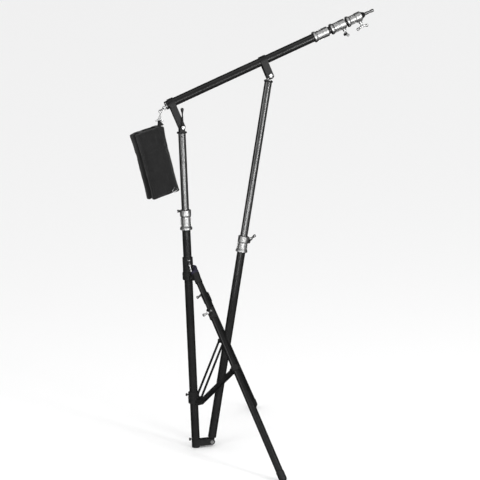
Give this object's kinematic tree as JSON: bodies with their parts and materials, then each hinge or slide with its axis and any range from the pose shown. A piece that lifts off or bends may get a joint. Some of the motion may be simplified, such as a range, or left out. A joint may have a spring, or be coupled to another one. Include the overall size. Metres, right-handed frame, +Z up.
{
  "type": "boom stand",
  "caption": "Telescoping light stand with braced legs, a tilting boom held by a telescoping strut and a counterweight bag; carries a lamp on the boom's spigot.",
  "frame": {"origin": "centre of the flat underside of the mast foot, on the floor", "axes": "+Z up along the mast, +X along the boom's horizontal reach, +Y to the side away from the clamp handle of the hub"},
  "size_m": [1.3599, 1.4322, 2.343],
  "materials": {
    "black_tube": "semi-gloss black powder coat",
    "black_fitting": "satin black paint",
    "cast_aluminium": "cast and tumbled",
    "bright_steel": "bright plated",
    "black_plastic": "matte",
    "bag_nylon": "woven nylon",
    "webbing": "nylon webbing"
  },
  "bodies": {
    "base": {"mast_foot": "black_fitting", "mast_lower_tube": "black_tube", "mast_casting": "cast_aluminium", "brace_collar": "black_fitting", "stop_collar": "black_fitting", "locking_screws": "black_plastic"},
    "mast_handle": {"mast_handle": "bright_steel"},
    "riser": {"mast_upper_tube": "black_tube", "mast_head": "black_fitting", "tilt_pivot_bolt": "bright_steel"},
    "tilt_lever": {"tilt_lever": "black_fitting"},
    "boom": {"boom_outer_tube": "black_tube", "knee_bracket": "black_fitting", "strut_bracket": "black_fitting", "strut_head_bolt": "bright_steel", "tail_eye": "bright_steel", "boom_casting_1": "cast_aluminium"},
    "boom_handle_1": {"boom_handle_1": "bright_steel"},
    "section_2": {"boom_tube_2": "black_tube", "boom_casting_2": "cast_aluminium"},
    "boom_handle_2": {"boom_handle_2": "bright_steel"},
    "section_3": {"boom_tube_3": "black_tube", "boom_casting_3": "cast_aluminium"},
    "boom_handle_3": {"boom_handle_3": "bright_steel"},
    "section_4": {"boom_tube_4": "black_tube", "boom_tip_cone": "black_fitting", "spigot": "bright_steel"},
    "hook": {"hook_link": "bright_steel", "snap_hook": "bright_steel"},
    "sandbag": {"sandbag_front": "bag_nylon", "sandbag_rear": "bag_nylon", "sandbag_handle": "webbing"},
    "strut_pin": {"strut_foot_bolt": "bright_steel"},
    "strut_lower": {"strut_tongue": "black_fitting", "strut_lower_tube": "black_tube", "strut_casting": "cast_aluminium"},
    "strut_handle": {"strut_handle": "bright_steel"},
    "strut_bush": {"strut_guide_bush": "black_plastic"},
    "strut_upper": {"strut_upper_tube": "black_tube", "strut_head_plug": "bright_steel", "strut_head_ring": "black_fitting"},
    "hub": {"leg_hub": "black_fitting", "leg_pivot_bolts": "bright_steel"},
    "hub_handle": {"hub_handle": "bright_steel"},
    "leg_a": {"leg_a_upper_tube": "black_tube", "leg_a_bracket": "black_fitting", "leg_a_brace_ring": "black_fitting"},
    "leg_a_lower": {"leg_a_lower_tube": "black_tube", "leg_a_clamp": "black_fitting", "leg_a_foot": "black_plastic"},
    "leg_a_handle": {"leg_a_handle": "bright_steel"},
    "brace_a": {"leg_a_brace": "black_fitting"},
    "leg_b": {"leg_b_upper_tube": "black_tube", "leg_b_bracket": "black_fitting", "leg_b_brace_ring": "black_fitting"},
    "leg_b_lower": {"leg_b_lower_tube": "black_tube", "leg_b_clamp": "black_fitting", "leg_b_foot": "black_plastic"},
    "leg_b_handle": {"leg_b_handle": "bright_steel"},
    "brace_b": {"leg_b_brace": "black_fitting"}
  },
  "joints": [
    {"name": "mast_extend", "type": "slide", "parent": "base", "child": "riser", "axis": [0, 0, 1], "range_m": [-0.07, 0.2]},
    {"name": "mast_clamp_turn", "type": "hinge", "parent": "base", "child": "mast_handle", "pos_m": [0, 0, 1.31], "axis": [0, 1, 0], "range_deg": [-180, 180]},
    {"name": "boom_tilt", "type": "hinge", "parent": "riser", "child": "boom", "pos_m": [0, 0, 1.774], "axis": [0, 1, 0], "range_deg": [-9, 9]},
    {"name": "tilt_lever_turn", "type": "hinge", "parent": "riser", "child": "tilt_lever", "pos_m": [0, 0, 1.774], "axis": [0, 1, 0], "range_deg": [-70, 70]},
    {"name": "boom_extend_1", "type": "slide", "parent": "boom", "child": "section_2", "axis": [0.9336, 0, 0.3584], "range_m": [0, 0.65]},
    {"name": "boom_extend_2", "type": "slide", "parent": "section_2", "child": "section_3", "axis": [0.9336, 0, 0.3584], "range_m": [0, 0.65]},
    {"name": "boom_extend_3", "type": "slide", "parent": "section_3", "child": "section_4", "axis": [0.9336, 0, 0.3584], "range_m": [0, 0.65]},
    {"name": "boom_clamp_turn_1", "type": "hinge", "parent": "boom", "child": "boom_handle_1", "pos_m": [0.80664, 0, 2.23146], "axis": [0, 1, 0], "range_deg": [-180, 180]},
    {"name": "boom_clamp_turn_2", "type": "hinge", "parent": "section_2", "child": "boom_handle_2", "pos_m": [0.9028, 0, 2.26837], "axis": [0.3584, 0, -0.9336], "range_deg": [-180, 180]},
    {"name": "boom_clamp_turn_3", "type": "hinge", "parent": "section_3", "child": "boom_handle_3", "pos_m": [0.99335, 0, 2.30313], "axis": [0.3584, 0, -0.9336], "range_deg": [-180, 180]},
    {"name": "hook_swing", "type": "hinge", "parent": "boom", "child": "hook", "pos_m": [-0.0886, 0, 1.87924], "axis": [0, 1, 0], "range_deg": [-8, 8]},
    {"name": "bag_swing", "type": "hinge", "parent": "hook", "child": "sandbag", "pos_m": [-0.119, 0, 1.812], "axis": [0, 1, 0], "range_deg": [0, 23]},
    {"name": "strut_swing_tilt", "type": "hinge", "parent": "base", "child": "strut_pin", "pos_m": [0.087, 0, 0.027], "axis": [0, 1, 0], "range_deg": [-6, 6]},
    {"name": "strut_swing_lift", "type": "hinge", "parent": "strut_pin", "child": "strut_lower", "pos_m": [0.087, 0, 0.027], "axis": [0, 1, 0], "range_deg": [-6, 6]},
    {"name": "strut_extend_tilt", "type": "slide", "parent": "strut_lower", "child": "strut_bush", "axis": [0.1982, 0, 0.9802], "range_m": [-0.1, 0.1]},
    {"name": "strut_extend_lift", "type": "slide", "parent": "strut_bush", "child": "strut_upper", "axis": [0.1982, 0, 0.9802], "range_m": [-0.25, 0.35]},
    {"name": "strut_clamp_turn", "type": "hinge", "parent": "strut_lower", "child": "strut_handle", "pos_m": [0.31258, 0, 1.14242], "axis": [0.8488, 0.5, -0.1717], "range_deg": [-180, 180]},
    {"name": "hub_slide", "type": "slide", "parent": "base", "child": "hub", "axis": [0, 0, 1], "range_m": [0, 0.145]},
    {"name": "hub_clamp_turn", "type": "hinge", "parent": "hub", "child": "hub_handle", "pos_m": [0, 0, 1.03], "axis": [0, -1, 0], "range_deg": [-180, 180]},
    {"name": "leg_a_fold", "type": "hinge", "parent": "hub", "child": "leg_a", "pos_m": [0.01967, -0.04868, 0.9587], "axis": [-0.9272, -0.3746, 0], "range_deg": [-15, 1]},
    {"name": "brace_a_fold", "type": "hinge", "parent": "base", "child": "brace_a", "pos_m": [0.02323, -0.05749, 0.264], "axis": [-0.9272, -0.3746, 0], "range_deg": [-1, 25]},
    {"name": "leg_a_extend", "type": "slide", "parent": "leg_a", "child": "leg_a_lower", "axis": [0.227, -0.5619, -0.7955], "range_m": [-0.13, 0.15]},
    {"name": "leg_a_clamp_turn", "type": "hinge", "parent": "leg_a_lower", "child": "leg_a_handle", "pos_m": [0.08173, -0.20228, 0.79074], "axis": [-0.654, -0.6932, 0.303], "range_deg": [-180, 180]},
    {"name": "leg_b_fold", "type": "hinge", "parent": "hub", "child": "leg_b", "pos_m": [0.03145, 0.04204, 0.9587], "axis": [0.8007, -0.599, 0], "range_deg": [-15, 1]},
    {"name": "brace_b_fold", "type": "hinge", "parent": "base", "child": "brace_b", "pos_m": [0.03714, 0.04965, 0.264], "axis": [0.8007, -0.599, 0], "range_deg": [-1, 25]},
    {"name": "leg_b_extend", "type": "slide", "parent": "leg_b", "child": "leg_b_lower", "axis": [0.363, 0.4852, -0.7955], "range_m": [-0.13, 0.15]},
    {"name": "leg_b_clamp_turn", "type": "hinge", "parent": "leg_b_lower", "child": "leg_b_handle", "pos_m": [0.13069, 0.17469, 0.79074], "axis": [-0.4552, 0.8373, 0.303], "range_deg": [-180, 180]}
  ],
  "couplings": [
    {"joint": "hook_swing", "follows": "boom_tilt", "ratio": -0.74},
    {"joint": "strut_swing_tilt", "follows": "boom_tilt", "ratio": 0.15914},
    {"joint": "strut_swing_lift", "follows": "mast_extend", "rad_per_m": -0.092568},
    {"joint": "strut_extend_tilt", "follows": "boom_tilt", "m_per_rad": -0.43271},
    {"joint": "strut_extend_lift", "follows": "mast_extend", "ratio": 0.97791},
    {"joint": "leg_a_fold", "follows": "hub_slide", "rad_per_m": -1.2391},
    {"joint": "brace_a_fold", "follows": "hub_slide", "rad_per_m": 2.0635},
    {"joint": "leg_b_fold", "follows": "hub_slide", "rad_per_m": -1.2391},
    {"joint": "brace_b_fold", "follows": "hub_slide", "rad_per_m": 2.0635}
  ]
}
